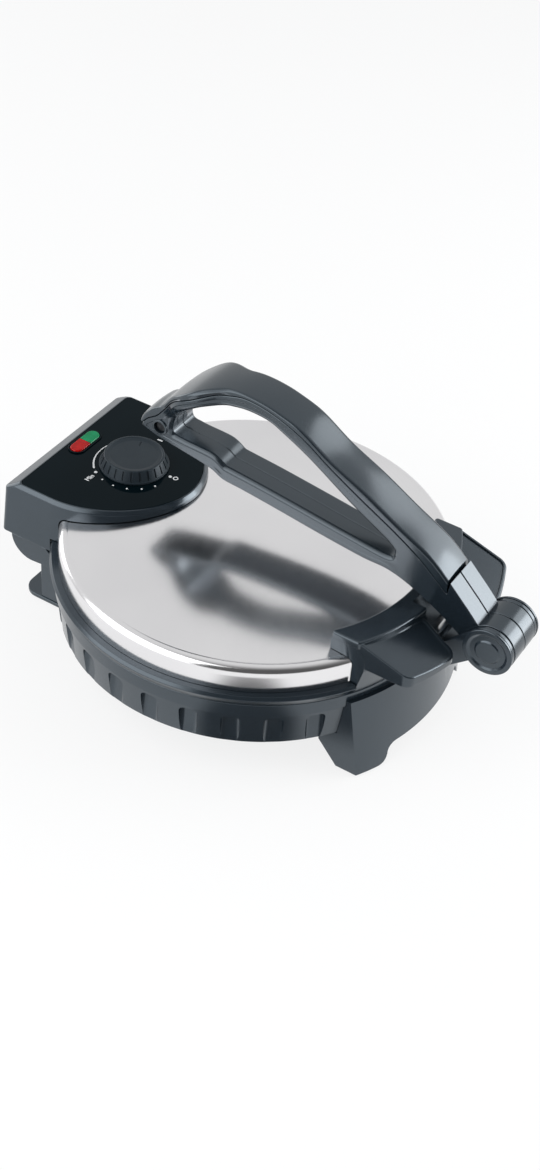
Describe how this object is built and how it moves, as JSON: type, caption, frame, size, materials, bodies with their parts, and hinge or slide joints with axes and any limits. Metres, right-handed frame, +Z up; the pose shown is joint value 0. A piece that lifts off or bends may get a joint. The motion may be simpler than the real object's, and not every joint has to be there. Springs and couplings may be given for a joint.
{
  "type": "electric roti maker",
  "caption": "Electric flatbread press: round heated plates in a clamshell under a steel dome, pressed shut by a long looped lever, with a heat dial on the lid.",
  "frame": {"origin": "on the table, under the middle of the machine's length and width", "axes": "+Z up; +Y from the lever's pivot at the front towards the lid's hinge at the rear; +X completes the frame"},
  "size_m": [0.282, 0.3658, 0.2152],
  "materials": {
    "body_plastic": "satin charcoal",
    "lever_plastic": "satin charcoal",
    "panel_gloss": "polished black",
    "knob_plastic": "satin charcoal",
    "dome_steel": "fine brushed",
    "coated_plate": "non-stick coating",
    "heater_steel": "heat-dulled",
    "plated_steel": "plated",
    "rubber": "matte",
    "ceramic_white": "matte",
    "red_window": "clear tinted",
    "green_window": "clear tinted",
    "lamp_glass": "clear"
  },
  "bodies": {
    "base": {"base_tub": "body_plastic", "bottom_cover": "body_plastic", "front_stand": "body_plastic", "rear_bracket": "body_plastic", "lever_bracket": "body_plastic", "front_pad_left": "rubber", "front_pad_right": "rubber", "rear_pad_left": "rubber", "rear_pad_right": "rubber", "lower_plate": "coated_plate", "lower_heater": "heater_steel", "lower_reflector": "plated_steel", "base_post_1": "body_plastic", "base_post_2": "body_plastic", "base_post_3": "body_plastic", "base_post_4": "body_plastic", "cover_screw_1": "plated_steel", "cover_screw_2": "plated_steel", "cover_screw_3": "plated_steel", "cover_screw_4": "plated_steel", "lower_plate_screw_1": "plated_steel", "lower_plate_screw_2": "plated_steel", "lower_plate_screw_3": "plated_steel", "hinge_pin": "plated_steel", "cord_inlet": "rubber", "pivot_pin": "plated_steel", "pivot_cap_left": "body_plastic", "pivot_cap_right": "body_plastic"},
    "lid": {"lid_ring": "body_plastic", "steel_dome": "dome_steel", "upper_plate": "coated_plate", "upper_heater": "heater_steel", "upper_reflector": "plated_steel", "upper_plate_screw_1": "plated_steel", "upper_plate_screw_2": "plated_steel", "upper_plate_screw_3": "plated_steel", "front_handle": "body_plastic", "control_housing": "body_plastic", "control_panel": "panel_gloss", "lid_hinge": "body_plastic", "thermostat": "ceramic_white", "red_lens": "red_window", "green_lens": "green_window", "lens_bezel": "panel_gloss", "red_lamp": "lamp_glass", "green_lamp": "lamp_glass"},
    "knob": {"knob": "knob_plastic", "knob_shaft": "plated_steel"},
    "lever": {"lever_left": "lever_plastic", "lever_right": "lever_plastic", "lever_cover": "lever_plastic", "lever_screw": "plated_steel"}
  },
  "joints": [
    {"name": "lid_hinge", "type": "hinge", "parent": "base", "child": "lid", "pos_m": [0, 0.16165, 0.06], "axis": [-1, 0, 0], "range_deg": [0, 42]},
    {"name": "lever_pivot", "type": "hinge", "parent": "base", "child": "lever", "pos_m": [0, -0.16555, 0.102], "axis": [1, 0, 0], "range_deg": [0, 100]},
    {"name": "knob_turn", "type": "hinge", "parent": "lid", "child": "knob", "pos_m": [0, 0.12115, 0.1086], "axis": [0, 0, 1], "range_deg": [-270, 0]}
  ],
  "couplings": [
    {"joint": "lever_pivot", "follows": "lid_hinge", "ratio": 2.38}
  ]
}
